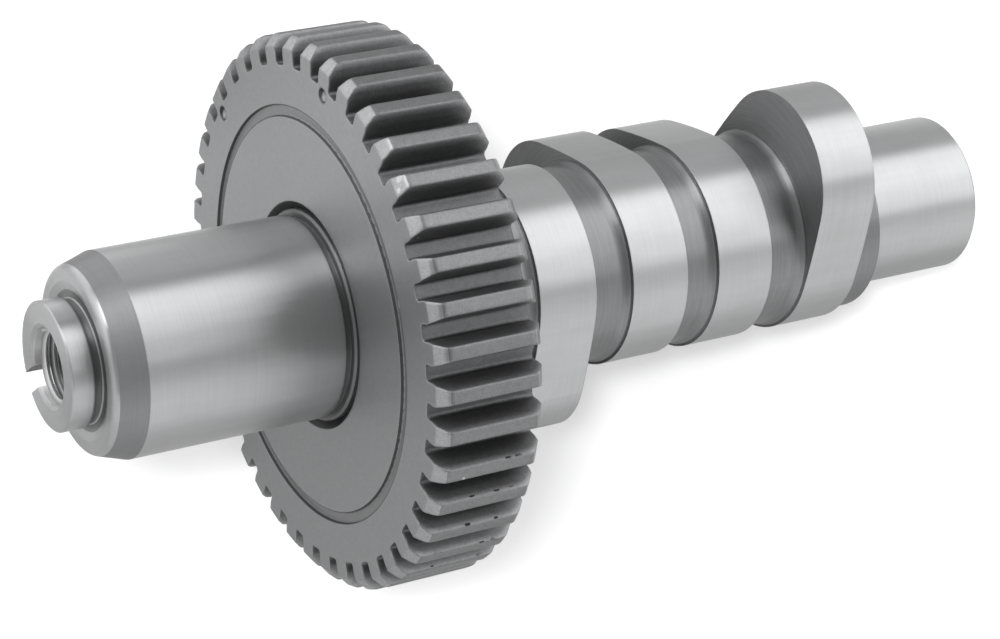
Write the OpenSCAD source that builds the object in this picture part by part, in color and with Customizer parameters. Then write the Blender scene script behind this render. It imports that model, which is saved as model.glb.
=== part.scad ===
// Camshaft for a small twin-cylinder engine, with its pressed-on spur gear
// The shaft lies at rest on the rim of its gear and on the edge of its inner end

/* [Lobes] */
// Radius of the base circle of every lobe
base_r = 13.5; // [13.3:0.1:15]
// Lift of every lobe above its base circle
lobe_lift = 7.55; // [5:0.05:8]
// Radius of the rounded top of a lobe
lobe_top_r = 11.4; // [9:0.1:12]
// Radius of the flanks of a lobe
lobe_flank_r = 100; // [70:1:160]
// Width of every lobe
lobe_w = 8.1; // [6:0.1:9]
// Angle of the first lobe, next to the gear, from the zero tooth gap
lobe1_angle = -108.5; // [-180:0.5:180]
// Angle of the second lobe
lobe2_angle = 154.3; // [-180:0.1:180]
// Angle of the third lobe
lobe3_angle = 156.8; // [-180:0.1:180]
// Angle of the fourth lobe, next to the inner journal
lobe4_angle = 45.8; // [-180:0.1:180]

/* [Necks and collars] */
// Diameter of the necks between the lobes
neck_d = 25.4; // [22:0.1:26]
// Length of the neck between the gear stop and the first lobe
neck_gear_l = 9; // [6:0.1:16]
// Length of the neck between the first and the second lobe
neck_12_l = 5.4; // [3.5:0.1:12]
// Length of the neck between the second and the third lobe
neck_23_l = 4.7; // [3.5:0.1:12]
// Length of the neck between the third and the fourth lobe
neck_34_l = 5.7; // [3.5:0.1:12]
// How far the low collar on the gear side of each lobe stands proud of the neck
collar_rise = 0.45; // [0.2:0.05:0.6]
// Width of the rounded crest of the low collar
collar_w = 0.6; // [0.4:0.1:0.8]
// Radius of the hollow fillet that runs up to the low collar
collar_fillet = 1.6; // [0.8:0.1:2]
// Diameter of the round collar behind the fourth lobe
end_collar_d = 25.4; // [22:0.1:26]
// Width of the round collar behind the fourth lobe
end_collar_w = 3.8; // [2:0.1:8]

/* [Journals] */
// Diameter of the inner journal
inner_journal_d = 20.64; // [18:0.02:21]
// Length of the inner journal
inner_journal_l = 17.85; // [12:0.05:26]
// Chamfer at the end of the inner journal
inner_chamfer = 0.4; // [0.2:0.1:1]
// Diameter of the centre hole at the face of the inner journal
centre_d = 5; // [3.5:0.1:8]
// Diameter of the pilot of the centre hole
centre_pilot_d = 2; // [1:0.1:3]
// Depth of the whole centre hole
centre_depth = 6; // [4:0.1:10]
// Diameter of the outer journal
outer_journal_d = 25.4; // [25:0.02:25.6]
// Length of the outer journal
outer_journal_l = 25.4; // [16:0.1:40]
// Width of the relief groove between the outer journal and the gear seat
relief_w = 0.9; // [0.4:0.1:1.4]
// Depth of the relief groove
relief_depth = 0.5; // [0.2:0.1:1]
// Length of the lead-in cone in front of the outer journal, to the plane of the end face
lead_l = 4.05; // [2:0.05:6]
// Diameter at which the lead-in cone would meet the plane of the end face
lead_d = 22.8; // [22.4:0.1:24.5]
// Radius of the rim, between the lead-in cone and the end face
rim_round_r = 1; // [0.4:0.1:1.2]
// Outer diameter of the dished part of the end face
dish_d = 19.3; // [18:0.1:19.6]
// Diameter of the foot of the dish, where the fillet of the nose neck starts
dish_foot_d = 16.4; // [15.6:0.1:17]
// Depth of the dish at its foot
dish_depth = 0.5; // [0.2:0.1:1]

/* [Nose] */
// Diameter of the nose
nose_d = 15.88; // [15.4:0.02:17]
// Length of the nose in front of its neck
nose_l = 2.85; // [2:0.05:6]
// Chamfer at the front of the nose
nose_chamfer = 0.17; // [0.1:0.01:0.5]
// Diameter of the neck behind the nose
nose_neck_d = 14.6; // [14:0.1:15]
// Distance from the nose to the flat ring of the end face
nose_neck_l = 0.8; // [0.6:0.05:3]
// Major diameter of the threaded hole
thread_d = 9.52; // [8:0.01:10]
// Depth of the threaded hole
thread_depth = 16; // [10:0.5:22]
// Diameter of the countersink at the mouth of the threaded hole
countersink_d = 10.5; // [10.1:0.1:11.5]
// Angle of that countersink
countersink_angle = 120; // [82:1:130]
// Angle of the drill point at the end of the threaded hole
drill_angle = 118; // [100:1:140]
// Width of the driving notch in the wall of the nose
notch_w = 2.6; // [1.5:0.1:4]
// Angle of the driving notch
notch_angle = 198.8; // [0:0.1:360]

/* [Gear] */
// Number of teeth
teeth = 42; // [36:2:52]
// Tooth size, the pitch diameter divided by the number of teeth
tooth_module = 1.5875; // [1.5:0.0125:1.75]
// Pressure angle of the teeth
pressure_angle = 14.5; // [14.5:0.5:18]
// How much lower the teeth are turned than their full height
tip_cut = 0.2; // [0:0.05:0.4]
// Depth of the tooth gaps below the turned tips
tooth_depth = 3.67; // [3.4:0.01:3.8]
// Radius in the two corners at the bottom of each tooth gap
root_fillet = 0.45; // [0.2:0.05:0.6]
// Width of the gear
gear_w = 14; // [8:0.5:20]
// Diameter of the gear seat on the shaft
seat_d = 26.5; // [26:0.1:28]
// Clearance all round between the seat and the bore
seat_clear = 0.01; // [0:0.01:0.05]
// How far the seat stands out in front of the gear
seat_proud = 0.05; // [0.05:0.05:1]
// Chamfer at the front edge of the seat
seat_edge = 0.25; // [0.1:0.05:0.4]
// Chamfer at both ends of the bore
bore_chamfer = 1; // [0.4:0.1:2]
// Diameter of the shoulder that the gear is pressed against
stop_d = 30; // [28:0.5:34]
// Width of that shoulder
stop_w = 2.4; // [1.5:0.1:4]
// Height of the bevel at each end of the teeth
tooth_bevel_h = 1.48; // [0.9:0.02:2]
// Width of that bevel, along the shaft
tooth_bevel_w = 1.12; // [0.6:0.02:1.6]
// Radius that runs from the bevel to the tip of each tooth
tooth_round_r = 1.2; // [0.6:0.1:1.6]
// Diameter of the ring groove in the front face, at its middle
groove_d = 50.86; // [40:0.02:56]
// Width of the ring groove
groove_w = 1.4; // [0.8:0.1:2.4]
// Depth of the ring groove
groove_depth = 0.42; // [0.3:0.02:1]
// Radius in the two corners at the bottom of the ring groove
groove_fillet = 0.2; // [0.1:0.05:0.25]

/* [Timing marks] */
// Diameter of a timing dot
dot_d = 1.8; // [1:0.1:2.4]
// Depth of a timing dot
dot_depth = 0.2; // [0.1:0.1:1]
// Diameter of the circle on which the timing dots lie
dot_circle_d = 60.4; // [56:0.1:60.4]
// Tooth gaps from the zero gap to the first timing dot
dot1_at = 7.5; // [0:0.5:35]
// Tooth gaps from the zero gap to the second timing dot
dot2_at = 14.5; // [0:0.5:35]

/* [Key] */
// Width of the key
key_w = 3.18; // [2:0.01:4]
// Height of the key
key_h = 3.18; // [2.4:0.01:4]
// Length of the key
key_l = 9.5; // [4:0.1:12]
// Clearance between the key and its two slots
key_clear = 0.03; // [0.01:0.01:0.1]
// Tooth gaps from the zero gap to the key
key_at = 20; // [0:0.5:35]

/* [Hidden] */
$fn = 96;
fine = 360;
eps = 0.5;
// How far a root fillet reaches past the straight wall, so that the two cross cleanly
cross = 0.004;
neck_r = neck_d / 2;
seat_r = seat_d / 2;
journal_r = outer_journal_d / 2;
inner_r = inner_journal_d / 2;
nose_r = nose_d / 2;
nose_neck_r = nose_neck_d / 2;
nose_face_r = nose_r - nose_chamfer;
bore_r = seat_r + seat_clear;
groove_r = groove_d / 2;

// Stations along the shaft, from the inner end face towards the nose
lobe4_s = inner_journal_l + end_collar_w;
lobe3_s = lobe4_s + lobe_w + neck_34_l;
lobe2_s = lobe3_s + lobe_w + neck_23_l;
lobe1_s = lobe2_s + lobe_w + neck_12_l;
stop_s = lobe1_s + lobe_w + neck_gear_l;
gear_s = stop_s + stop_w;
gear_front_s = gear_s + gear_w;
seat_s = gear_front_s + seat_proud;
journal_s = seat_s + relief_w;
lead_s = journal_s + outer_journal_l;
ring_s = lead_s + lead_l;
foot_s = ring_s - dish_depth;
nose_s = ring_s + nose_neck_l;
tip_s = nose_s + nose_l;
lobe_stations = [lobe1_s, lobe2_s, lobe3_s, lobe4_s];
key_s = gear_s + (gear_w - key_l) / 2;
lobe_angles = [lobe1_angle, lobe2_angle, lobe3_angle, lobe4_angle];

// Rim of the outer end: an arc that touches the lead-in cone and the end face
lead_angle = atan2(journal_r - lead_d / 2, lead_l);
rim_flat_r = lead_d / 2 - rim_round_r * tan(45 - lead_angle / 2);
rim_cone_r = rim_flat_r + rim_round_r * cos(lead_angle);
rim_cone_s = ring_s - rim_round_r * (1 - sin(lead_angle));

// Lobe form: a base circle and a top circle, joined by two flank arcs that touch both
top_at = base_r + lobe_lift - lobe_top_r;
flank_base = lobe_flank_r - base_r;
flank_top = lobe_flank_r - lobe_top_r;
flank_x = (pow(flank_base, 2) - pow(flank_top, 2) + pow(top_at, 2)) / (2 * top_at);
flank_y = sqrt(pow(flank_base, 2) - pow(flank_x, 2));

// Tooth form: involute flanks down to the involute circle, then straight walls to a flat root
pitch_r = teeth * tooth_module / 2;
gear_tip_r = pitch_r + tooth_module - tip_cut;
root_r = gear_tip_r - tooth_depth;
involute_r = pitch_r * cos(pressure_angle);
gap_step = 360 / teeth;
root_gap = gap_step / 4 - tan(pressure_angle) * 180 / PI + pressure_angle;
root_w = involute_r * sin(root_gap);
gap_top_r = gear_tip_r + eps;
gap_top_roll = sqrt(pow(gap_top_r / involute_r, 2) - 1);
tip_roll = sqrt(pow(gear_tip_r / involute_r, 2) - 1);
tip_gap = root_gap + involute_angle(tip_roll);
flank_steps = 4;

// Tooth ends: a bevel, and an arc that touches it and the tip
bevel_angle = atan2(tooth_bevel_h, tooth_bevel_w);
gear_face_r = gear_tip_r - tooth_bevel_h;
round_at_r = gear_tip_r - tooth_round_r;
round_at_w = tooth_bevel_w + tooth_round_r * tan(bevel_angle / 2);
bevel_end_r = round_at_r + tooth_round_r * cos(bevel_angle);
bevel_end_w = round_at_w - tooth_round_r * sin(bevel_angle);

// The rest: two neighbouring teeth and the edge of the inner journal carry the part,
// with this tooth gap on top and the heavy side of the lobes low, so that it stays there
rest_gap = 0;
rest_run = gear_s + round_at_w - inner_chamfer;
rest_rise = round_at_r * cos(tip_gap) - inner_r;
rest_tilt = atan2(rest_rise, rest_run) + asin(tooth_round_r / norm([rest_run, rest_rise]));
rest_up = inner_r * cos(rest_tilt) - inner_chamfer * sin(rest_tilt);
nose_x = tip_s * cos(rest_tilt) + nose_face_r * sin(rest_tilt);
inner_x = (inner_r - inner_chamfer) * sin(rest_tilt);
rest_x = (nose_x - inner_x) / 2;

function involute_angle(roll) = roll * 180 / PI - atan(roll);
function involute_point(roll, side) =
    at(involute_r * sqrt(1 + roll * roll), side * (root_gap + involute_angle(roll)));
function at(r, a) = [r * cos(a), r * sin(a)];
function beyond(from, to, length) = from + (to - from) * length / norm(to - from);

// Carries the upright shaft, with its inner end at the origin, to where it rests
module at_rest() {
    translate([rest_x, 0, rest_up])
        rotate([0, rest_tilt - 90, 0])
            rotate([0, 0, -rest_gap * gap_step])
                children();
}

// Half section of the shaft, x is the radius and y the station
module shaft_section() {
    polygon([
        [0, 0],
        [inner_r - inner_chamfer, 0],
        [inner_r, inner_chamfer],
        [inner_r, inner_journal_l],
        [end_collar_d / 2, inner_journal_l],
        [end_collar_d / 2, lobe4_s + lobe_w / 2],
        [neck_r, lobe4_s + lobe_w / 2],
        [neck_r, stop_s],
        [stop_d / 2, stop_s],
        [stop_d / 2, gear_s],
        [seat_r, gear_s],
        [seat_r, seat_s - seat_edge],
        [seat_r - seat_edge, seat_s],
        [journal_r - relief_depth, seat_s],
        [journal_r - relief_depth, journal_s],
        [journal_r, journal_s],
        [journal_r, lead_s],
        [rim_cone_r, rim_cone_s],
        [rim_flat_r, ring_s],
        [dish_d / 2, ring_s],
        [dish_foot_d / 2, foot_s],
        [nose_neck_r, foot_s],
        [nose_neck_r, nose_s],
        [nose_r, nose_s],
        [nose_r, tip_s - nose_chamfer],
        [nose_face_r, tip_s],
        [0, tip_s]
    ]);
    translate([rim_flat_r, ring_s - rim_round_r])
        circle(rim_round_r);
    for (s = lobe_stations)
        translate([neck_r, s + lobe_w])
            collar_section();
    translate([nose_neck_r, foot_s])
        hollow_fillet(dish_foot_d / 2 - nose_neck_r);
}

// Low collar on the gear side of a lobe: a round crest, and the hollow fillet that touches it
module collar_section() {
    crest_r = collar_w / 2;
    crest_x = collar_rise - crest_r;
    crest_y = 0.7 * crest_r;
    reach = sqrt(pow(collar_fillet + crest_r, 2) - pow(collar_fillet - crest_x, 2));
    translate([crest_x, crest_y])
        circle(crest_r);
    difference() {
        polygon([
            [-eps, 0],
            [crest_x, 0],
            [crest_x, crest_y],
            [collar_fillet, crest_y + reach],
            [-eps, crest_y + reach]
        ]);
        translate([collar_fillet, crest_y + reach])
            circle(collar_fillet);
    }
}

// Hollow fillet in the corner between a round surface and a face
module hollow_fillet(r) {
    difference() {
        translate([-eps, -eps])
            square(r + eps);
        translate([r, r])
            circle(r);
    }
}

// Outline of a lobe whose top lies along x
module lobe_outline() {
    circle(base_r);
    translate([top_at, 0])
        circle(lobe_top_r);
    for (side = [0, 1])
        mirror([0, side])
            lobe_flank();
}

// One flank: the slice of the flank circle between the two points where it touches
module lobe_flank() {
    flank = [flank_x, -flank_y];
    intersection() {
        translate(flank)
            circle(lobe_flank_r, $fn = fine);
        polygon([
            [0, 0],
            beyond(flank, [0, 0], lobe_flank_r + 1),
            beyond(flank, [top_at, 0], lobe_flank_r + 1),
            [top_at, 0]
        ]);
    }
}

module lobe(station, angle) {
    translate([0, 0, station])
        rotate(angle)
            linear_extrude(lobe_w)
                lobe_outline();
}

// Threaded hole with its countersink and drill point, as bored before threading
module nose_bore() {
    slope = tan(countersink_angle / 2);
    sink = (countersink_d - thread_d) / 2 / slope;
    point = thread_d / 2 / tan(drill_angle / 2);
    rotate_extrude()
        polygon([
            [0, tip_s - thread_depth - point],
            [thread_d / 2, tip_s - thread_depth],
            [thread_d / 2, tip_s - sink],
            [countersink_d / 2 + eps * slope, tip_s + eps],
            [0, tip_s + eps]
        ]);
}

// Centre hole that the shaft was turned and ground on
module centre_hole() {
    cone_l = (centre_d - centre_pilot_d) / 2 / tan(30);
    point = centre_pilot_d / 2 / tan(drill_angle / 2);
    rotate_extrude()
        polygon([
            [0, centre_depth],
            [centre_pilot_d / 2, centre_depth - point],
            [centre_pilot_d / 2, cone_l],
            [centre_d / 2 + eps * tan(30), -eps],
            [0, -eps]
        ]);
}

// Notch through one side of the nose wall, down to the nose neck
module driving_notch() {
    rotate(notch_angle)
        translate([0, -notch_w / 2, nose_s])
            cube([nose_r + eps, notch_w, nose_l + eps]);
}

// A block across the seat at the key, grown all round by the clearance
module key_block(clear) {
    rotate(key_at * gap_step)
        translate([seat_r - key_h / 2 - clear, -key_w / 2 - clear, key_s - clear])
            cube([key_h + 2 * clear, key_w + 2 * clear, key_l + 2 * clear]);
}

module camshaft() {
    color("#8f9296")
        at_rest()
            difference() {
                union() {
                    rotate_extrude()
                        shaft_section();
                    for (i = [0 : len(lobe_stations) - 1])
                        lobe(lobe_stations[i], lobe_angles[i]);
                }
                nose_bore();
                centre_hole();
                driving_notch();
                key_block(key_clear);
            }
}

// Half section of the gear without its teeth gaps, y is the width from the back face
module blank_section() {
    difference() {
        polygon([
            [bore_r + bore_chamfer, 0],
            [gear_face_r, 0],
            [bevel_end_r, bevel_end_w],
            [gear_tip_r, round_at_w],
            [gear_tip_r, gear_w - round_at_w],
            [bevel_end_r, gear_w - bevel_end_w],
            [gear_face_r, gear_w],
            [bore_r + bore_chamfer, gear_w],
            [bore_r, gear_w - bore_chamfer],
            [bore_r, bore_chamfer]
        ]);
        translate([groove_r, gear_w])
            groove_section();
    }
    for (w = [round_at_w, gear_w - round_at_w])
        translate([round_at_r, w])
            circle(tooth_round_r);
}

// Ring groove with a flat bottom and a fillet in both corners
module groove_section() {
    side = groove_w / 2;
    flat = side - groove_fillet;
    polygon([
        [-side, eps],
        [-side, groove_fillet - groove_depth],
        [-flat, -groove_depth],
        [flat, -groove_depth],
        [side, groove_fillet - groove_depth],
        [side, eps]
    ]);
    for (x = [-flat, flat])
        translate([x, groove_fillet - groove_depth])
            circle(groove_fillet);
}

// One tooth gap, its middle along x
module tooth_gap() {
    rolls = [for (i = [0 : flank_steps]) gap_top_roll * i / flank_steps];
    flat = root_w - root_fillet;
    polygon(concat(
        [[root_r, -flat], [root_r + root_fillet, -root_w]],
        [for (roll = rolls) involute_point(roll, -1)],
        [for (i = [flank_steps : -1 : 0]) involute_point(rolls[i], 1)],
        [[root_r + root_fillet, root_w], [root_r, flat]]
    ));
    for (y = [-flat, flat])
        translate([root_r + root_fillet, y])
            circle(root_fillet + cross);
}

module cam_gear() {
    color("#6f7276")
        at_rest()
            difference() {
                translate([0, 0, gear_s])
                    difference() {
                        rotate_extrude()
                            blank_section();
                        for (i = [0 : teeth - 1])
                            rotate(i * gap_step)
                                translate([0, 0, -eps])
                                    linear_extrude(gear_w + 2 * eps)
                                        tooth_gap();
                        for (k = [dot1_at, dot2_at])
                            rotate(k * gap_step)
                                translate([dot_circle_d / 2, 0, gear_w])
                                    timing_dot();
                    }
                keyway();
            }
}

// Timing dot, drilled with a pointed drill
module timing_dot() {
    point = dot_d / 2 / tan(drill_angle / 2);
    rotate_extrude()
        polygon([
            [0, -dot_depth - point],
            [dot_d / 2, -dot_depth],
            [dot_d / 2, eps],
            [0, eps]
        ]);
}

// Keyway broached through the bore of the gear
module keyway() {
    rotate(key_at * gap_step)
        translate([0, -key_w / 2 - key_clear, gear_s - eps])
            cube([seat_r + key_h / 2 + key_clear, key_w + 2 * key_clear, gear_w + 2 * eps]);
}

module gear_key() {
    color("#a9abae")
        at_rest()
            key_block(0);
}

camshaft();
cam_gear();
gear_key();
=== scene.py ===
import math

import bmesh
import bpy
from mathutils import Matrix, Vector


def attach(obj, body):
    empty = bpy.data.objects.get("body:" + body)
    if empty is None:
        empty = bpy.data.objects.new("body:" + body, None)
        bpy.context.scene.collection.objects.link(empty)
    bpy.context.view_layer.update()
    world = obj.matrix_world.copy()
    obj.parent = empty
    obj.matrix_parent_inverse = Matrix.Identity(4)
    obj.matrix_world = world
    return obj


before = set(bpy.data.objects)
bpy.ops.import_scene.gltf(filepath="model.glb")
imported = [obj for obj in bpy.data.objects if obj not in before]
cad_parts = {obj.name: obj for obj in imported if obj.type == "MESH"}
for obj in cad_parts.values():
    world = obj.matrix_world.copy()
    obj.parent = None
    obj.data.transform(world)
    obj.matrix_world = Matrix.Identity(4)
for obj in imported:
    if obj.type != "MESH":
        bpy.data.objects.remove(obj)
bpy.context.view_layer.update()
print("frame loaded:", sorted(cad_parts))

# Where the shaft lies: the middle of its inner end face, and how far its nose points up from -X
shaft = {
    "innerEnd": (0.061691982, 0.0, 0.009783055),
    "tilt": math.radians(16.47161),
}
toNose = (-math.cos(shaft["tilt"]), 0.0, math.sin(shaft["tilt"]))
shaftPlace = Matrix.Translation(shaft["innerEnd"]) @ Matrix.Rotation(
    shaft["tilt"] - math.pi / 2, 4, "Y"
)

# The camera looks down on the part, as the photograph does
camera = {
    "location": (-0.079477, 0.050005, 0.405984),
    "turn": (-6.6752, -12.2557, -7.4653),  # degrees
    "lens": 109.963,
    "sensor": 36,
    "clipStart": 0.01,
}
cameraData = bpy.data.cameras.new("studioCamera")
cameraData.lens = camera["lens"]
cameraData.sensor_width = camera["sensor"]
cameraData.sensor_fit = "HORIZONTAL"
cameraData.clip_start = camera["clipStart"]
cameraObject = bpy.data.objects.new("studioCamera", cameraData)
cameraObject.location = camera["location"]
cameraObject.rotation_euler = [math.radians(a) for a in camera["turn"]]
bpy.context.scene.collection.objects.link(cameraObject)
bpy.context.scene.camera = cameraObject
print("camera set")


# Small helpers for node trees. At is a node's place in the editor
def addNode(tree, kind, at, values=None, **settings):
    node = tree.nodes.new(kind)
    node.location = at
    for name, value in settings.items():
        setattr(node, name, value)
    for socket, value in (values or {}).items():
        node.inputs[socket].default_value = value
    return node


def join(tree, source, target):
    tree.links.new(source, target)


# A plain value is set on the socket, and anything else is joined to it
def plug(tree, socket, value):
    if isinstance(value, (int, float, tuple)):
        socket.default_value = value
    elif value is not None:
        join(tree, value, socket)


def startGroup(name, inputs, outputs):
    group = bpy.data.node_groups.new(name, "ShaderNodeTree")
    for label, kind, value in inputs:
        socket = group.interface.new_socket(label, in_out="INPUT", socket_type=kind)
        if value is not None:
            socket.default_value = value
    for label, kind in outputs:
        group.interface.new_socket(label, in_out="OUTPUT", socket_type=kind)
    given = addNode(group, "NodeGroupInput", (-1200, 0))
    result = addNode(group, "NodeGroupOutput", (900, 0))
    return group, given.outputs, result.inputs


def useGroup(tree, group, at, values):
    node = addNode(tree, "ShaderNodeGroup", at, node_tree=group)
    for name, value in values.items():
        plug(tree, node.inputs[name], value)
    return node.outputs


def maths(tree, at, operation, a, b=None, c=None, clamp=False):
    node = addNode(tree, "ShaderNodeMath", at, operation=operation, use_clamp=clamp)
    for socket, value in zip(node.inputs, (a, b, c)):
        plug(tree, socket, value)
    return node.outputs[0]


# Where two masks are both 1
def overlap(tree, at, a, b):
    return maths(tree, at, "MULTIPLY", a, b)


def vectorMaths(tree, at, operation, a, b=None):
    node = addNode(tree, "ShaderNodeVectorMath", at, operation=operation)
    for socket, value in zip(node.inputs, (a, b)):
        plug(tree, socket, value)
    return node.outputs


def stretchVector(tree, at, vector, length):
    node = addNode(tree, "ShaderNodeVectorMath", at, operation="SCALE")
    plug(tree, node.inputs["Vector"], vector)
    plug(tree, node.inputs["Scale"], length)
    return node.outputs[0]


def ramp(tree, at, value, fromLow, fromHigh, toLow=0.0, toHigh=1.0):
    node = addNode(tree, "ShaderNodeMapRange", at, interpolation_type="SMOOTHSTEP")
    for socket, given in zip(node.inputs, (value, fromLow, fromHigh, toLow, toHigh)):
        plug(tree, socket, given)
    return node.outputs[0]


# The numbers of a Mix node's two inputs and its output, for each kind of value
mixSockets = {"FLOAT": (2, 3, 0), "VECTOR": (4, 5, 1), "RGBA": (6, 7, 2)}


def mix(tree, at, kind, factor, a, b, **settings):
    numberA, numberB, numberOut = mixSockets[kind]
    node = addNode(tree, "ShaderNodeMix", at, data_type=kind, **settings)
    for number, value in ((0, factor), (numberA, a), (numberB, b)):
        plug(tree, node.inputs[number], value)
    return node.outputs[numberOut]


def mixColor(tree, at, factor, a, b, blend="MIX"):
    return mix(tree, at, "RGBA", factor, a, b, blend_type=blend)


def mixValue(tree, at, factor, a, b):
    return mix(tree, at, "FLOAT", factor, a, b)


def newMaterial(name):
    material = bpy.data.materials.new(name)
    material.use_nodes = True
    material.node_tree.nodes.clear()
    return material, material.node_tree


# Place on the shaft in millimetres: station from the inner end, radius, and the angle round it.
# End face is 1 on a face that looks along the shaft, and 0 on one that looks away from its axis
coordinates, given, result = startGroup(
    "shaftCoordinates",
    [],
    [
        ("Place", "NodeSocketVector"),
        ("Station", "NodeSocketFloat"),
        ("Radius", "NodeSocketFloat"),
        ("Angle", "NodeSocketFloat"),
        ("End face", "NodeSocketFloat"),
    ],
)
mmPerMetre = 1000
toShaft = shaftPlace.inverted()
surface = addNode(coordinates, "ShaderNodeTexCoord", (-1000, 0)).outputs
place = addNode(
    coordinates,
    "ShaderNodeMapping",
    (-800, 0),
    {
        "Location": toShaft.translation * mmPerMetre,
        "Rotation": toShaft.to_euler(),
        "Scale": (mmPerMetre, mmPerMetre, mmPerMetre),
    },
)
join(coordinates, surface["Object"], place.inputs["Vector"])
parts = addNode(coordinates, "ShaderNodeSeparateXYZ", (-600, 0))
join(coordinates, place.outputs["Vector"], parts.inputs[0])
across, up, station = parts.outputs
squares = maths(coordinates, (-400, 200), "MULTIPLY", across, across)
squares = maths(coordinates, (-200, 200), "MULTIPLY_ADD", up, up, squares)
facing = vectorMaths(coordinates, (-400, -200), "DOT_PRODUCT", surface["Normal"], toNose)["Value"]
for label, source in {
    "Place": place.outputs["Vector"],
    "Station": station,
    "Radius": maths(coordinates, (0, 200), "SQRT", squares),
    "Angle": maths(coordinates, (0, 0), "ARCTAN2", up, across),
    "End face": maths(coordinates, (-200, -200), "ABSOLUTE", facing),
}.items():
    join(coordinates, source, result[label])


# 1 between two values, with soft ends
band, given, result = startGroup(
    "softBand",
    [
        ("Value", "NodeSocketFloat", 0),
        ("From", "NodeSocketFloat", 0),
        ("To", "NodeSocketFloat", 1),
        ("Soft", "NodeSocketFloat", 0.05),
    ],
    [("Mask", "NodeSocketFloat")],
)
rise = maths(band, (-600, 100), "SUBTRACT", given["Value"], given["From"])
fall = maths(band, (-600, -100), "SUBTRACT", given["To"], given["Value"])
nearer = maths(band, (-400, 0), "MINIMUM", rise, fall)
scaled = maths(band, (-200, 0), "DIVIDE", nearer, given["Soft"])
join(band, maths(band, (0, 0), "ADD", scaled, 0.5, clamp=True), result["Mask"])


# Fine lines that a grinding wheel or a lathe tool leaves round the shaft
toolLines, given, result = startGroup(
    "toolLines",
    [
        ("Across lines", "NodeSocketFloat", 0),
        ("Angle", "NodeSocketFloat", 0),
        ("Lines per mm", "NodeSocketFloat", 8),
        ("Breaks", "NodeSocketFloat", 2),
    ],
    [("Height", "NodeSocketFloat")],
)
lineStep = maths(
    toolLines, (-800, 200), "MULTIPLY", given["Across lines"], given["Lines per mm"]
)
cosine = maths(toolLines, (-1000, 0), "COSINE", given["Angle"])
sine = maths(toolLines, (-1000, -200), "SINE", given["Angle"])
turnX = maths(toolLines, (-800, 0), "MULTIPLY", cosine, given["Breaks"])
turnY = maths(toolLines, (-800, -200), "MULTIPLY", sine, given["Breaks"])
lineSpace = addNode(toolLines, "ShaderNodeCombineXYZ", (-600, 0))
for socket, source in zip(lineSpace.inputs, (lineStep, turnX, turnY)):
    join(toolLines, source, socket)
lines = addNode(
    toolLines, "ShaderNodeTexNoise", (-300, 0), {"Scale": 1.0, "Detail": 4.0, "Roughness": 0.6}
)
join(toolLines, lineSpace.outputs[0], lines.inputs["Vector"])
join(toolLines, lines.outputs[0], result["Height"])


# Even metal grain, centred on nought
grain, given, result = startGroup(
    "metalGrain",
    [
        ("Place", "NodeSocketVector", None),
        ("Per mm", "NodeSocketFloat", 3.0),
    ],
    [("Value", "NodeSocketFloat")],
)
cloud = addNode(grain, "ShaderNodeTexNoise", (-300, 0), {"Detail": 4.0, "Roughness": 0.6})
join(grain, given["Place"], cloud.inputs["Vector"])
join(grain, given["Per mm"], cloud.inputs["Scale"])
join(grain, maths(grain, (0, 0), "MULTIPLY_ADD", cloud.outputs[0], 2.0, -1.0), result["Value"])


# A small dent, nick or dot at one place on the part, long one way, with a soft or ragged edge
mark, given, result = startGroup(
    "mark",
    [
        ("Place", "NodeSocketVector", None),
        ("At", "NodeSocketVector", None),
        ("Stretch", "NodeSocketVector", None),
        ("Ragged", "NodeSocketFloat", 0.3),
    ],
    [("Mask", "NodeSocketFloat")],
)
offset = vectorMaths(mark, (-800, 0), "SUBTRACT", given["Place"], given["At"])[0]
local = vectorMaths(mark, (-600, 0), "DIVIDE", offset, given["Stretch"])[0]
distance = vectorMaths(mark, (-400, 0), "LENGTH", local)["Value"]
edge = addNode(mark, "ShaderNodeTexNoise", (-600, -300), {"Scale": 6.0, "Detail": 3.0})
join(mark, given["Place"], edge.inputs["Vector"])
frayed = maths(mark, (-400, -300), "SUBTRACT", edge.outputs[0], 0.5)
frayed = maths(mark, (-200, -300), "MULTIPLY", frayed, given["Ragged"])
reach = maths(mark, (0, 0), "ADD", distance, frayed)
fadeFrom, fadeTo = 1.0, 0.7  # the mark fades over the outer part of its reach
join(mark, ramp(mark, (200, 0), reach, fadeFrom, fadeTo), result["Mask"])


# Scattered specks: how many of the cells hold one, and how large it is
specks, given, result = startGroup(
    "specks",
    [
        ("Place", "NodeSocketVector", None),
        ("Per mm", "NodeSocketFloat", 1.0),
        ("Share", "NodeSocketFloat", 0.2),
        ("Size", "NodeSocketFloat", 0.15),
    ],
    [("Mask", "NodeSocketFloat")],
)
cells = addNode(specks, "ShaderNodeTexVoronoi", (-600, 0))
join(specks, given["Place"], cells.inputs["Vector"])
join(specks, given["Per mm"], cells.inputs["Scale"])
chance = addNode(specks, "ShaderNodeSeparateColor", (-400, -200))
join(specks, cells.outputs["Color"], chance.inputs[0])
chosen = maths(specks, (-200, -200), "LESS_THAN", chance.outputs[0], given["Share"])
reach = maths(specks, (-400, 100), "MULTIPLY", chance.outputs[1], given["Size"])
inside = maths(specks, (-200, 100), "SUBTRACT", reach, cells.outputs["Distance"])
fadeFrom, fadeTo = -0.02, 0.04  # as a share of a cell
inside = ramp(specks, (0, 100), inside, fadeFrom, fadeTo)
join(specks, overlap(specks, (200, 0), inside, chosen), result["Mask"])
print("shared groups made")


# The direction round the shaft, which the grinding marks run in
def aroundShaft(tree, at):
    x, y = at
    surface = addNode(tree, "ShaderNodeTexCoord", (x, y))
    fromAxis = vectorMaths(
        tree, (x + 200, y), "SUBTRACT", surface.outputs["Object"], shaft["innerEnd"]
    )[0]
    return vectorMaths(tree, (x + 400, y), "CROSS_PRODUCT", toNose, fromAxis)[0]


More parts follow.
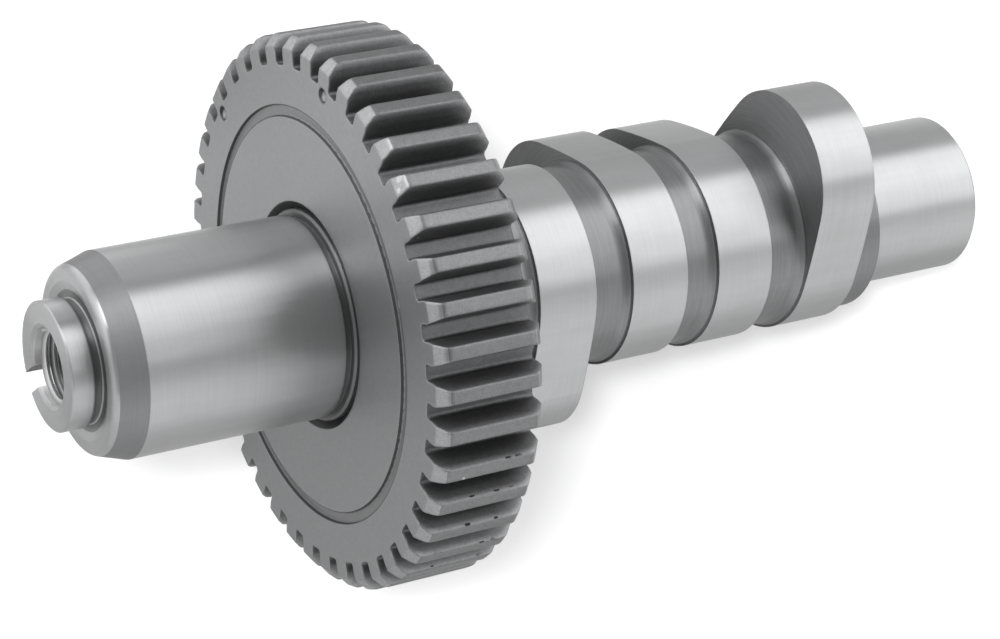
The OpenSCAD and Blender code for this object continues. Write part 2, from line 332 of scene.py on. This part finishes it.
# Soft is how far each end of the band fades, in the value's own unit
def inBand(tree, at, value, start, end, soft=0.03):
    return useGroup(tree, band, at, {"Value": value, "From": start, "To": end, "Soft": soft})[0]


# Lines across the station or the radius: how many per millimetre, and how they break off
def cutLines(tree, at, here, across, look):
    perMm, breaks = look
    return useGroup(tree, toolLines, at, {
        "Across lines": here[across],
        "Angle": here["Angle"],
        "Lines per mm": perMm,
        "Breaks": breaks,
    })[0]


# Finishes, each a colour and a roughness, are laid over the first in the order given
def layFinishes(tree, finish, layers):
    color, rough = finish
    for i, (mask, (overColor, overRough)) in enumerate(layers):
        color = mixColor(tree, (-900 + 160 * i, 300), mask, color, overColor)
        rough = mixValue(tree, (-900 + 160 * i, 0), mask, rough, overRough)
    return color, rough


# A colour made lighter and darker by a value round one half
def shadeBy(tree, at, color, value, amount):
    factor = maths(tree, at, "MULTIPLY_ADD", value, 2 * amount, 1.0 - amount)
    return mixColor(tree, (at[0] + 200, at[1]), 1.0, color, factor, "MULTIPLY")


# The normal of a turned surface, the same all round the shaft, where the mask is 1
def turnedNormal(tree, at, normal, mask):
    x, y = at
    around = vectorMaths(tree, (x, y), "NORMALIZE", aroundShaft(tree, (x - 700, y)))[0]
    outward = vectorMaths(tree, (x + 200, y), "CROSS_PRODUCT", around, toNose)[0]
    facing = vectorMaths(tree, (x + 200, y - 200), "DOT_PRODUCT", normal, outward)["Value"]
    side = maths(tree, (x + 400, y), "SIGN", facing)
    along = vectorMaths(tree, (x, y - 200), "DOT_PRODUCT", normal, toNose)["Value"]
    square = maths(tree, (x, y - 400), "MULTIPLY", along, along)
    rest = maths(tree, (x + 200, y - 400), "SUBTRACT", 1.0, square)
    rest = maths(tree, (x + 300, y - 400), "MAXIMUM", rest, 0.0)
    rest = maths(tree, (x + 400, y - 400), "SQRT", rest)
    reach = maths(tree, (x + 500, y - 200), "MULTIPLY", rest, side)
    outPart = stretchVector(tree, (x + 600, y), outward, reach)
    nosePart = stretchVector(tree, (x + 600, y - 400), toNose, along)
    turned = vectorMaths(tree, (x + 800, y), "ADD", outPart, nosePart)[0]
    return mix(tree, (x + 1000, y), "VECTOR", mask, normal, turned)


def addBump(tree, at, height, look, turnedMask=None):
    x, y = at
    edge = addNode(
        tree, "ShaderNodeBevel", (x - 300, y), {"Radius": look["edgeRadius"]}, samples=6
    )
    normal = edge.outputs[0]
    if turnedMask is not None:
        normal = turnedNormal(tree, (x - 1200, y - 900), normal, turnedMask)
    bump = addNode(
        tree,
        "ShaderNodeBump",
        at,
        {"Strength": look["bumpStrength"], "Distance": look["lineHeight"]},
    )
    join(tree, height, bump.inputs["Height"])
    join(tree, normal, bump.inputs["Normal"])
    return bump.outputs[0]


# The tangent runs round the shaft, and a quarter turn lays the highlight across the marks
def finishMetal(tree, color, rough, bump, anisotropy):
    shader = addNode(
        tree,
        "ShaderNodeBsdfPrincipled",
        (900, 0),
        {"Metallic": 1.0, "Anisotropic": anisotropy, "Anisotropic Rotation": 0.25},
    )
    plug(tree, shader.inputs["Base Color"], color)
    plug(tree, shader.inputs["Roughness"], rough)
    join(tree, bump, shader.inputs["Normal"])
    join(tree, aroundShaft(tree, (300, -500)), shader.inputs["Tangent"])
    output = addNode(tree, "ShaderNodeOutputMaterial", (1200, 0))
    join(tree, shader.outputs[0], output.inputs[0])


# Shaft steel: ground journals and lobes, turned necks, milled lobe sides, matte cone.
# Stations and radii are in millimetres
shaftLook = {
    # Colour and roughness of each finish
    "ground": ((0.40, 0.403, 0.408, 1), 0.32),
    "lobe": ((0.44, 0.443, 0.448, 1), 0.36),
    # Painted shade for the recess round the nose neck
    "ringShade": ((0.15, 0.151, 0.153, 1), 0.45),
    # Painted light on the bore wall inside the nose, far lighter than the steel so the bore looks
    # lit
    "boreWallLight": ((0.75, 0.752, 0.756, 1), 0.5),
    "turned": ((0.235, 0.237, 0.241, 1), 0.4),
    "matte": ((0.31, 0.313, 0.318, 1), 0.62),
    "side": ((0.25, 0.252, 0.256, 1), 0.5),
    "end": ((0.42, 0.423, 0.428, 1), 0.38),
    # Painted shade in the relief groove beside the gear seat
    "relief": ((0.17, 0.172, 0.175, 1), 0.45),
    # Painted light on the notch floor and painted shade on the notch wall
    "litNotchFloor": ((0.75, 0.75, 0.75, 1), 0.4),
    "shadedNotchWall": ((0.12, 0.12, 0.123, 1), 0.5),
    # Where they lie
    "endFaces": (0.68, 0.72),
    "uprightFaces": 0.4,
    "lobesEnd": 80.0,
    "noseFrom": 125.3,
    "necks": [(29.75, 35.45), (43.55, 48.25), (56.35, 61.75), (69.85, 78.85), (17.85, 21.65)],
    "matteCone": (121.6, 124.95),
    "reliefStations": (94.9, 96.22),
    "ringShadeStations": (124.6, 126.6),
    "ringShadeRadii": (10.2, 7.6),
    "boreRadius": 4.85,
    "noseRadii": (4.9, 7.85),
    "notchFloorStations": (126.3, 126.6),
    "notchWallFrom": 126.5,
    "roundBelow": 17.85,  # outside these two only the necks are round
    "roundAbove": 70.0,
    # Tool marks: lines per millimetre, and how they break off round the shaft
    "grindLines": (9.0, 1.5),
    "sideLines": (7.0, 3.0),
    "neckLines": (5.0, 2.0),
    "coarseShade": 2.0,
    "clouds": (0.12, 0.3),  # how fine per millimetre, and how strong
    "streaks": (0.7, 0.3),
    "streakStretch": (1.0, 1.0, 0.12),  # long along the shaft
    "lineShade": 0.12,
    "lineHeight": 0.00001,
    "bumpStrength": 0.25,
    "edgeRadius": 0.00018,
    "anisotropy": 0.8,
}
shaftSteel, tree = newMaterial("shaftSteel")
here = useGroup(tree, coordinates, (-2400, 0), {})
station, radius = here["Station"], here["Radius"]
neckMask = 0.0
for i, (start, end) in enumerate(shaftLook["necks"]):
    neck = inBand(tree, (-2000, 600 - 180 * i), station, start, end)
    neckMask = maths(tree, (-1800, 600 - 180 * i), "MAXIMUM", neckMask, neck)
coneMask = inBand(tree, (-2000, -400), station, *shaftLook["matteCone"])
# Painted shade in the relief groove beside the gear seat
reliefMask = inBand(tree, (-2000, -1700), station, *shaftLook["reliefStations"], 0.02)
flat = ramp(tree, (-2000, -560), here["End face"], *shaftLook["endFaces"])
upright = maths(tree, (-1800, -1520), "LESS_THAN", here["End face"], shaftLook["uprightFaces"])
beforeGear = maths(tree, (-2000, -720), "LESS_THAN", station, shaftLook["lobesEnd"])
sideMask = overlap(tree, (-1800, -720), flat, beforeGear)
noseSide = maths(tree, (-2000, -880), "GREATER_THAN", station, shaftLook["noseFrom"])
endMask = overlap(tree, (-1800, -880), flat, noseSide)
# The notch in the wall of the nose: painted light on its floor and painted shade on its wall
litNotchFloor = inBand(tree, (-2000, -1040), station, *shaftLook["notchFloorStations"], 0.02)
litNotchFloor = overlap(tree, (-1800, -1040), litNotchFloor, flat)
noseRim = maths(tree, (-1800, -1200), "GREATER_THAN", radius, shaftLook["noseRadii"][0])
litNotchFloor = overlap(tree, (-1600, -1040), litNotchFloor, noseRim)
aboveFloor = maths(tree, (-2000, -1520), "GREATER_THAN", station, shaftLook["notchWallFrom"])
shadedNotchWall = inBand(tree, (-2000, -1360), radius, *shaftLook["noseRadii"], 0.02)
shadedNotchWall = overlap(tree, (-1800, -1360), shadedNotchWall, aboveFloor)
shadedNotchWall = overlap(tree, (-1600, -1360), shadedNotchWall, upright)
# Painted shade in the recess between the nose and the end face, darker towards the nose neck;
# then the bore that carries the thread, painted light
ringStretch = inBand(tree, (-2000, -2020), station, *shaftLook["ringShadeStations"], 0.3)
ringShadeMask = ramp(tree, (-2000, -1860), radius, *shaftLook["ringShadeRadii"])
ringShadeMask = overlap(tree, (-1800, -1860), ringShadeMask, ringStretch)
# Painted light on the wall of the thread bore
boreLightMask = maths(tree, (-2000, -2180), "LESS_THAN", radius, shaftLook["boreRadius"])
boreLightMask = overlap(tree, (-1800, -2180), boreLightMask, noseSide)
color, rough = layFinishes(
    tree,
    shaftLook["ground"],
    [
        (beforeGear, shaftLook["lobe"]),
        (ringShadeMask, shaftLook["ringShade"]),
        (boreLightMask, shaftLook["boreWallLight"]),
        (neckMask, shaftLook["turned"]),
        (coneMask, shaftLook["matte"]),
        (sideMask, shaftLook["side"]),
        (endMask, shaftLook["end"]),
        (reliefMask, shaftLook["relief"]),
        (litNotchFloor, shaftLook["litNotchFloor"]),
        (shadedNotchWall, shaftLook["shadedNotchWall"]),
    ],
)
# Grinding and facing lines give the height, and the coarser cuts show in the colour too
grindLines = cutLines(tree, (-1300, -400), here, "Station", shaftLook["grindLines"])
sideLines = cutLines(tree, (-1300, -700), here, "Radius", shaftLook["sideLines"])
neckLines = cutLines(tree, (-1300, -900), here, "Station", shaftLook["neckLines"])
height = mixValue(tree, (-700, -500), flat, grindLines, sideLines)
neckCut = maths(tree, (-900, -700), "SUBTRACT", neckLines, 0.5)
neckCut = overlap(tree, (-700, -700), neckMask, neckCut)
sideCut = maths(tree, (-900, -900), "SUBTRACT", sideLines, 0.5)
sideCut = overlap(tree, (-700, -900), sideMask, sideCut)
cuts = maths(tree, (-500, -800), "ADD", neckCut, sideCut)
marks = maths(tree, (-300, -800), "MULTIPLY_ADD", cuts, shaftLook["coarseShade"], height)
perMm, strength = shaftLook["clouds"]
clouds = useGroup(tree, grain, (-900, -1100), {"Place": here["Place"], "Per mm": perMm})[0]
marks = maths(tree, (-100, -800), "MULTIPLY_ADD", clouds, strength, marks)
perMm, strength = shaftLook["streaks"]
drawn = vectorMaths(
    tree, (-1100, -1260), "MULTIPLY", here["Place"], shaftLook["streakStretch"]
)[0]
streaks = useGroup(tree, grain, (-900, -1260), {"Place": drawn, "Per mm": perMm})[0]
marks = maths(tree, (0, -900), "MULTIPLY_ADD", streaks, strength, marks)
color = shadeBy(tree, (200, 300), color, marks, shaftLook["lineShade"])
# Everything but the lobes and the notch is round, and gets the true normal of a turned surface
innerJournal = maths(tree, (-1300, -1300), "LESS_THAN", station, shaftLook["roundBelow"])
beyondLobes = maths(tree, (-1300, -1460), "GREATER_THAN", station, shaftLook["roundAbove"])
turnedMask = maths(tree, (-1100, -1300), "MAXIMUM", innerJournal, beyondLobes)
turnedMask = maths(tree, (-900, -1300), "MAXIMUM", turnedMask, neckMask)
noNotch = maths(tree, (-900, -1460), "SUBTRACT", 1.0, shadedNotchWall)
turnedMask = overlap(tree, (-700, -1300), turnedMask, noNotch)
bump = addBump(tree, (300, -300), height, shaftLook, turnedMask)
finishMetal(tree, color, rough, bump, shaftLook["anisotropy"])
print("shaft steel made")


# Gear steel: dull turned face, bright tooth bevels, dark hobbed flanks that also carry painted
# shade between the teeth.
# Stations and radii are in millimetres
gearLook = {
    # Colour and roughness of each finish
    "face": ((0.33, 0.333, 0.338, 1), 0.45),
    "land": ((0.2, 0.202, 0.205, 1), 0.45),
    # Dark hobbed flanks and roots, darkened further as painted shade between the teeth
    "flank": ((0.165, 0.167, 0.17, 1), 0.55),
    "bevel": ((0.33, 0.333, 0.338, 1), 0.38),
    # Painted highlight where the tumbled tooth ends would be round
    "roundCornerHighlight": ((0.27, 0.273, 0.277, 1), 0.45),
    # Painted shade on the chamfer of the gear's bore
    "boreChamferShade": ((0.085, 0.086, 0.088, 1), 0.5),
    # Painted shade in the ring groove, darker on its walls
    "groove": ((0.28, 0.282, 0.287, 1), 0.5),
    "grooveWallShade": ((0.11, 0.111, 0.113, 1), 0.6),
    "pit": ((0.05, 0.05, 0.051, 1), 0.7),
    "speck": ((0.55, 0.55, 0.55, 1), 0.3),
    "nickColor": (0.48, 0.48, 0.48, 1),
    # Where they lie
    "endFaces": (0.95, 0.98),
    "slopingFaces": (0.45, 0.95),
    "uprightFaces": 0.4,
    "frontFrom": 90.0,
    "flankRadii": (30.5, 34.55),
    "landFrom": 34.55,
    "bevelFrom": 33.1,
    "boreChamferRadii": (13.0, 14.26),
    "grooveRadii": (24.7, 26.16),
    "grooveMiddle": 25.43,
    "grooveEdges": (0.62, 0.78),  # either side of its middle
    # The bevels of the tooth ends, which are tumbled round to their corners; the model's ends are
    # angular, so a painted highlight stands in for that rounding
    "bevelLean": (0.603, 0.797),  # the bevel's normal, outwards and along the shaft
    "bevelFoot": 33.245,
    "toothEnds": [(-1, 95.25), (1, 81.25)],
    "tip": 34.725,
    "cornerRound": 1.6,
    "cornerHighlightDepths": (0.75, -0.1),
    # Marks
    "teeth": 42,
    "dots": (7.5, 14.5),  # in tooth steps from the zero gap
    "dotCircle": 30.2,
    "dotStation": 95.0,
    "dotDepth": 3.0,
    # Painted shade ring and off-centre painted highlight of each dot
    "dotShadeAndHighlight": [(1.15, 0.0, (0.07, 0.071, 0.073, 1)), (0.7, 0.15, (0.3, 0.303, 0.308, 1))],
    "nicks": [  # place and size
        ((29.2, 17.6, 94.8), (0.4, 0.5, 0.8)),
        ((29.4, 16.4, 95.2), (0.3, 0.4, 0.7)),
        ((25.9, 2.96, 95.2), (0.4, 0.6, 0.9)),
        ((29.74, -17.93, 91.75), (0.22, 0.25, 0.2)),
        ((27.91, -19.24, 93.75), (0.25, 0.25, 0.7)),
    ],
    "nickRagged": 1.2,
    "pits": {"Per mm": 2.0, "Share": 1.0, "Size": 0.5},
    "pitStretch": (1.0, 1.0, 0.45),  # long along the tooth
    "pitStations": (84.2, 91.5),
    "pitAngles": (math.radians(-64), math.radians(-25)),
    "pitRadii": (34.25, 34.66),
    "brightSpecks": {"Per mm": 0.55, "Share": 0.25, "Size": 0.09},
    "faceLines": (6.0, 3.0),  # lines per millimetre, and how they break off
    "fineGrain": 3.0,
    "mottle": (1.4, 0.35),  # how fine per millimetre, and how strong
    "castGrain": (5.0, 0.6),
    "castShade": 0.28,
    "calmFace": 0.6,  # how much less of that shade shows on the turned faces
    "lineHeight": 0.00001,
    "bumpStrength": 0.3,
    "edgeRadius": 0.00045,
    "anisotropy": 0.25,
}
gearSteel, tree = newMaterial("gearSteel")
here = useGroup(tree, coordinates, (-2400, 0), {})
station, radius = here["Station"], here["Radius"]
flat = ramp(tree, (-2000, 0), here["End face"], *gearLook["endFaces"])
slope = inBand(tree, (-2000, -160), here["End face"], *gearLook["slopingFaces"], 0.05)
upright = maths(tree, (-2000, -640), "LESS_THAN", here["End face"], gearLook["uprightFaces"])
outer = maths(tree, (-2000, -320), "GREATER_THAN", radius, gearLook["bevelFrom"])
bevelMask = overlap(tree, (-1800, -240), slope, outer)
land = maths(tree, (-2000, -480), "GREATER_THAN", radius, gearLook["landFrom"])
landMask = overlap(tree, (-1800, -560), land, upright)
tooth = inBand(tree, (-2000, -800), radius, *gearLook["flankRadii"], 0.05)
flankMask = overlap(tree, (-1800, -800), tooth, upright)
# Painted shade on the chamfer of the gear's bore
chamferShadeMask = inBand(tree, (-2000, -960), radius, *gearLook["boreChamferRadii"])
chamferShadeMask = overlap(tree, (-1800, -960), chamferShadeMask, slope)
# The ring groove is only in the front face; painted shade fills it, darker on its walls
front = maths(tree, (-2000, -1440), "GREATER_THAN", station, gearLook["frontFrom"])
grooveShadeMask = inBand(tree, (-2000, -1120), radius, *gearLook["grooveRadii"], 0.05)
grooveShadeMask = overlap(tree, (-1600, -1120), grooveShadeMask, front)
fromMiddle = maths(tree, (-2200, -1280), "SUBTRACT", radius, gearLook["grooveMiddle"])
fromMiddle = maths(tree, (-2000, -1280), "ABSOLUTE", fromMiddle)
grooveWallShade = inBand(tree, (-1800, -1280), fromMiddle, *gearLook["grooveEdges"], 0.06)
grooveWallShade = overlap(tree, (-1600, -1280), grooveWallShade, front)
# Painted highlight: the flanks are lighter towards the tip and the bevels, with round corners,
# standing in for the tumbled rounding
outwards, along = gearLook["bevelLean"]
lean = maths(
    tree, (-2400, -1500), "MULTIPLY_ADD", radius, -outwards, outwards * gearLook["bevelFoot"]
)
toEnds = []
for i, (sign, end) in enumerate(gearLook["toothEnds"]):
    depth = maths(
        tree, (-2200, -1500 - 160 * i), "MULTIPLY_ADD", station, sign * along, -sign * end * along
    )
    toEnds.append(maths(tree, (-2000, -1500 - 160 * i), "ADD", depth, lean))
toEnd = maths(tree, (-1800, -1500), "MINIMUM", *toEnds)
toTip = maths(tree, (-1800, -1660), "SUBTRACT", gearLook["tip"], radius)
toRim = maths(tree, (-1600, -1500), "SMOOTH_MIN", toEnd, toTip, gearLook["cornerRound"])
cornerHighlight = ramp(tree, (-1600, -1660), toRim, *gearLook["cornerHighlightDepths"])
cornerHighlight = overlap(tree, (-1400, -1500), cornerHighlight, flankMask)
# Rows of short dark pits along the edges of a few teeth, and bright specks off the faces
pitPlace = vectorMaths(
    tree, (-1500, -1500), "MULTIPLY", here["Place"], gearLook["pitStretch"]
)[0]
pits = useGroup(tree, specks, (-1300, -1500), {"Place": pitPlace, **gearLook["pits"]})[0]
rows = inBand(tree, (-1300, -1700), station, *gearLook["pitStations"], 1.5)
sector = inBand(tree, (-1300, -1860), here["Angle"], *gearLook["pitAngles"], 0.05)
crest = inBand(tree, (-1300, -2020), radius, *gearLook["pitRadii"], 0.12)
pits = overlap(tree, (-1100, -1600), pits, rows)
pits = overlap(tree, (-900, -1600), pits, sector)
pits = overlap(tree, (-700, -1600), pits, crest)
bright = useGroup(
    tree, specks, (-1300, -1300), {"Place": here["Place"], **gearLook["brightSpecks"]}
)[0]
offFace = maths(tree, (-1300, -1140), "SUBTRACT", 1.0, flat)
bright = overlap(tree, (-1100, -1300), bright, offFace)
color, rough = layFinishes(
    tree,
    gearLook["face"],
    [
        (landMask, gearLook["land"]),
        (flankMask, gearLook["flank"]),
        (bevelMask, gearLook["bevel"]),
        (chamferShadeMask, gearLook["boreChamferShade"]),
        (grooveShadeMask, gearLook["groove"]),
        (grooveWallShade, gearLook["grooveWallShade"]),
        (cornerHighlight, gearLook["roundCornerHighlight"]),
        (pits, gearLook["pit"]),
        (bright, gearLook["speck"]),
    ],
)
# Timing dots: painted shade in each punched dot, with a lighter middle set off to one side as a
# painted highlight
for i, step in enumerate(gearLook["dots"]):
    a = math.radians(step * 360 / gearLook["teeth"])
    x, y = gearLook["dotCircle"] * math.cos(a), gearLook["dotCircle"] * math.sin(a)
    for j, (size, shift, tone) in enumerate(gearLook["dotShadeAndHighlight"]):
        down = -3600 - 500 * i - 250 * j
        disc = useGroup(tree, mark, (-1300, down), {
            "Place": here["Place"],
            "At": (x - shift, y - shift, gearLook["dotStation"]),
            "Stretch": (size, size, gearLook["dotDepth"]),
            "Ragged": 0.0,
        })[0]
        color = mixColor(tree, (-900, down), disc, color, tone)
# Fresh nicks on a bevel, on the groove's rim and on two teeth
for i, (at, stretch) in enumerate(gearLook["nicks"]):
    nick = useGroup(tree, mark, (-1300, -2200 - 250 * i), {
        "Place": here["Place"],
        "At": at,
        "Stretch": stretch,
        "Ragged": gearLook["nickRagged"],
    })[0]
    color = mixColor(tree, (-900, -2200 - 250 * i), nick, color, gearLook["nickColor"])
# Cloudy shade of hardened steel, calmer on the turned faces
perMm, strength = gearLook["mottle"]
mottle = useGroup(tree, grain, (-900, -900), {"Place": here["Place"], "Per mm": perMm})[0]
cast = maths(tree, (-700, -900), "MULTIPLY_ADD", mottle, strength, 0.5)
perMm, strength = gearLook["castGrain"]
castGrain = useGroup(tree, grain, (-900, -1060), {"Place": here["Place"], "Per mm": perMm})[0]
cast = maths(tree, (-500, -900), "MULTIPLY_ADD", castGrain, strength, cast)
calm = maths(tree, (-500, -1060), "MULTIPLY", flat, gearLook["calmFace"])
cast = mixValue(tree, (-300, -900), calm, cast, 0.5)
color = shadeBy(tree, (200, 300), color, cast, gearLook["castShade"])
faceLines = cutLines(tree, (-1300, -300), here, "Radius", gearLook["faceLines"])
fineGrain = useGroup(
    tree, grain, (-1300, -600), {"Place": here["Place"], "Per mm": gearLook["fineGrain"]}
)[0]
height = mixValue(tree, (-700, -500), flat, fineGrain, faceLines)
bump = addBump(tree, (300, -300), height, gearLook)
finishMetal(tree, color, rough, bump, gearLook["anisotropy"])
print("gear steel made")


steelOf = {"camshaft": shaftSteel, "cam_gear": gearSteel, "gear_key": shaftSteel}
for node, material in steelOf.items():
    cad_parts[node].data.materials.clear()
    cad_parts[node].data.materials.append(material)


# The thread's ridge inside the nose bore, one section spun and lifted along the shaft.
# Sizes are in metres
thread = {
    "pitch": 0.001058,
    "wall": 0.0048,  # just inside the bore's wall
    "crest": 0.00423,
    "wallHalf": 0.00046,
    "crestHalf": 0.00008,
    "from": 0.1145,
    "turns": 13.3,
    "stepsPerTurn": 36,
    # Painted light: the ridge is lighter than the shaft steel, as if lit inside the bore, and
    # painted shade darkens it towards the root
    "color": (0.6, 0.602, 0.606, 1),
    "roughness": 0.5,
    "rootShade": 0.45,
    "grainPerMm": 4.0,
    "bump": {"Strength": 0.3, "Distance": 0.00001},
}
threadMesh = bpy.data.meshes.new("noseThreadRidge")
ridge = bmesh.new()
profile = [
    ridge.verts.new((radius, 0, thread["from"] + along))
    for radius, along in (
        (thread["wall"], -thread["wallHalf"]),
        (thread["crest"], -thread["crestHalf"]),
        (thread["crest"], thread["crestHalf"]),
        (thread["wall"], thread["wallHalf"]),
    )
]
loop = [ridge.edges.new((profile[i], profile[(i + 1) % 4])) for i in range(4)]
bmesh.ops.spin(
    ridge,
    geom=profile + loop,
    cent=(0, 0, 0),
    axis=(0, 0, 1),
    dvec=(0, 0, thread["pitch"] / thread["stepsPerTurn"]),
    angle=math.radians(360 * thread["turns"]),
    steps=round(thread["turns"] * thread["stepsPerTurn"]),
)
bmesh.ops.holes_fill(ridge, edges=[e for e in ridge.edges if e.is_boundary], sides=4)
bmesh.ops.recalc_face_normals(ridge, faces=ridge.faces)
bmesh.ops.transform(ridge, matrix=shaftPlace, verts=ridge.verts)
ridge.to_mesh(threadMesh)
ridge.free()
threadRidge = bpy.data.objects.new("noseThreadRidge", threadMesh)
bpy.context.scene.collection.objects.link(threadRidge)
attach(threadRidge, "root")
threadSteel, tree = newMaterial("threadSteel")
here = useGroup(tree, coordinates, (-1200, 0), {})
cutGrain = useGroup(
    tree, grain, (-900, -300), {"Place": here["Place"], "Per mm": thread["grainPerMm"]}
)[0]
crest, root = thread["crest"] * mmPerMetre, thread["wall"] * mmPerMetre
# Painted shade, darker towards the root of the ridge
shade = ramp(tree, (-900, 0), here["Radius"], crest, root, 1.0, thread["rootShade"])
color = mixColor(tree, (-500, 100), 1.0, thread["color"], shade, "MULTIPLY")
bump = addNode(tree, "ShaderNodeBump", (300, -300), thread["bump"])
join(tree, cutGrain, bump.inputs["Height"])
finishMetal(tree, color, thread["roughness"], bump.outputs[0], 0.0)
threadMesh.materials.append(threadSteel)
print("thread ridge wound,", len(threadMesh.polygons), "faces")


# Floor and soft light: azimuth is counted from -Y towards +X
studio = {
    "floorSize": 6.0,
    "floorColor": (0.5, 0.5, 0.5, 1),
    "cameraColor": (0.85, 0.85, 0.85, 1),
    "cameraGlow": 0.14,
    # Pools of light that only mirrors see on the floor: where each starts and is full, and level
    "nearPool": (0.032, 0.016, 0.35),  # along Y, close behind the part
    "nearPoolFront": (-0.02, 0.01),  # where it begins, under the part
    "farPool": (-0.06, -0.3, 0.31),  # along Y, far in front of it
    "backPool": (0.15, 0.5, 0.3),  # along Y, far behind it
    "rearPool": (-0.03, -0.06, 0.75),  # along X, to the left behind it
    "rearPoolFront": (0.03, 0.06),  # where it begins along Y
    "sky": 0.55,
    "skyStarts": (43, 52),  # elevation above which the patches end
    "lampsAim": (0, 0, 0.035),
}


# A unit vector towards an azimuth and an elevation in degrees
def direction(azimuth, elevation):
    a, e = math.radians(azimuth), math.radians(elevation)
    return (math.sin(a) * math.cos(e), -math.cos(a) * math.cos(e), math.sin(e))


# 1 where the camera looks, directly or through glass
def seenDirectly(tree, at, light):
    return maths(
        tree, at, "MAXIMUM", light.outputs["Is Camera Ray"], light.outputs["Is Transmission Ray"]
    )


floorMesh = bpy.data.meshes.new("floor")
sheet = bmesh.new()
bmesh.ops.create_grid(sheet, x_segments=1, y_segments=1, size=studio["floorSize"] / 2)
sheet.to_mesh(floorMesh)
sheet.free()
floor = bpy.data.objects.new("floor", floorMesh)
bpy.context.scene.collection.objects.link(floor)
floorPaint, tree = newMaterial("floorPaint")
light = addNode(tree, "ShaderNodeLightPath", (-1200, 400))
seen = seenDirectly(tree, (-1000, 400), light)
surface = addNode(tree, "ShaderNodeTexCoord", (-1200, 0))
parts = addNode(tree, "ShaderNodeSeparateXYZ", (-1000, 0))
join(tree, surface.outputs["Object"], parts.inputs[0])
floorX, floorY = parts.outputs[0], parts.outputs[1]


def poolAlong(y, distance, pool):
    start, full, strength = pool
    return ramp(tree, (-800, y), distance, start, full, 0.0, strength)


near = poolAlong(0, floorY, studio["nearPool"])
nearFront = ramp(tree, (-800, -200), floorY, *studio["nearPoolFront"])
far = poolAlong(-400, floorY, studio["farPool"])
back = poolAlong(-500, floorY, studio["backPool"])
rear = poolAlong(-600, floorX, studio["rearPool"])
rearFront = ramp(tree, (-800, -800), floorY, *studio["rearPoolFront"])
pools = overlap(tree, (-600, 0), near, nearFront)
pools = maths(tree, (-400, 0), "ADD", pools, far)
pools = maths(tree, (-400, 150), "ADD", pools, back)
rear = overlap(tree, (-600, -600), rear, rearFront)
pools = maths(tree, (-400, -200), "MAXIMUM", pools, rear)
mirrored = maths(tree, (-600, 100), "MULTIPLY", light.outputs["Is Glossy Ray"], pools)
strength = maths(tree, (-400, 200), "MULTIPLY_ADD", seen, studio["cameraGlow"], mirrored)
color = mixColor(tree, (-400, 400), seen, studio["floorColor"], studio["cameraColor"])
diffuse = addNode(tree, "ShaderNodeBsdfDiffuse", (-200, 200))
join(tree, color, diffuse.inputs["Color"])
glow = addNode(tree, "ShaderNodeEmission", (-200, 0))
join(tree, strength, glow.inputs["Strength"])
both = addNode(tree, "ShaderNodeAddShader", (0, 100))
join(tree, diffuse.outputs[0], both.inputs[0])
join(tree, glow.outputs[0], both.inputs[1])
output = addNode(tree, "ShaderNodeOutputMaterial", (200, 100))
join(tree, both.outputs[0], output.inputs[0])
floorMesh.materials.append(floorPaint)

# Soft patches of studio light: azimuth, elevation, inner and outer half-width in degrees, level
patches = {
    "front": (38, 16, 46, 60, 1.55),
    "side": (-52, 25, 22, 42, 1.35),
    "keyLeft": (104, 31, 18, 30, 3.5),
    "keyRight": (128, 22, 18, 32, 3.0),
    "rear": (-128, 18, 25, 45, 1.9),
    "rearRight": (-162, 36, 12, 26, 4.5),
}
world = bpy.data.worlds.new("studioWorld")
bpy.context.scene.world = world
world.use_nodes = True
tree = world.node_tree
tree.nodes.clear()
surface = addNode(tree, "ShaderNodeTexCoord", (-1400, 0))
towards = surface.outputs["Generated"]
level = studio["sky"]
for i, (azimuth, elevation, inner, outer, strength) in enumerate(patches.values()):
    y = -250 * i
    middle = direction(azimuth, elevation)
    near = vectorMaths(tree, (-1200, y), "DOT_PRODUCT", towards, middle)["Value"]
    start, full = (math.cos(math.radians(width)) for width in (outer, inner))
    patch = ramp(tree, (-1000, y), near, start, full, studio["sky"], strength)
    level = maths(tree, (-800, y), "MAXIMUM", level, patch)
parts = addNode(tree, "ShaderNodeSeparateXYZ", (-1200, 300))
join(tree, towards, parts.inputs[0])
start, full = (math.sin(math.radians(a)) for a in studio["skyStarts"])
overhead = ramp(tree, (-1000, 300), parts.outputs[2], start, full)
level = mixValue(tree, (-600, 0), overhead, level, studio["sky"])
light = addNode(tree, "ShaderNodeLightPath", (-600, 300))
seen = seenDirectly(tree, (-400, 300), light)
background = addNode(tree, "ShaderNodeBackground", (0, 0))
join(tree, mixValue(tree, (-200, 0), seen, level, 1.0), background.inputs["Strength"])
output = addNode(tree, "ShaderNodeOutputWorld", (200, 0))
join(tree, background.outputs[0], output.inputs[0])

lamps = {
    "topLamp": {
        "azimuth": -130,
        "elevation": 70,
        "distance": 0.8,
        "size": (0.1, 0.1),
        "radiance": 92,
    },
}
for name, lamp in lamps.items():
    out = Vector(direction(lamp["azimuth"], lamp["elevation"]))
    data = bpy.data.lights.new(name, "AREA")
    data.shape = "RECTANGLE"
    data.size, data.size_y = lamp["size"]
    data.energy = lamp["radiance"] * math.pi * data.size * data.size_y
    item = bpy.data.objects.new(name, data)
    turned = out.to_track_quat("Z", "Y").to_matrix().to_4x4()
    where = Vector(studio["lampsAim"]) + out * lamp["distance"]
    item.matrix_world = Matrix.Translation(where) @ turned
    item.visible_glossy = False  # mirrors don't see it, so that the steel has no glint of it
    bpy.context.scene.collection.objects.link(item)
print("floor, world and lamps set")

bpy.context.scene.view_settings.view_transform = "Standard"
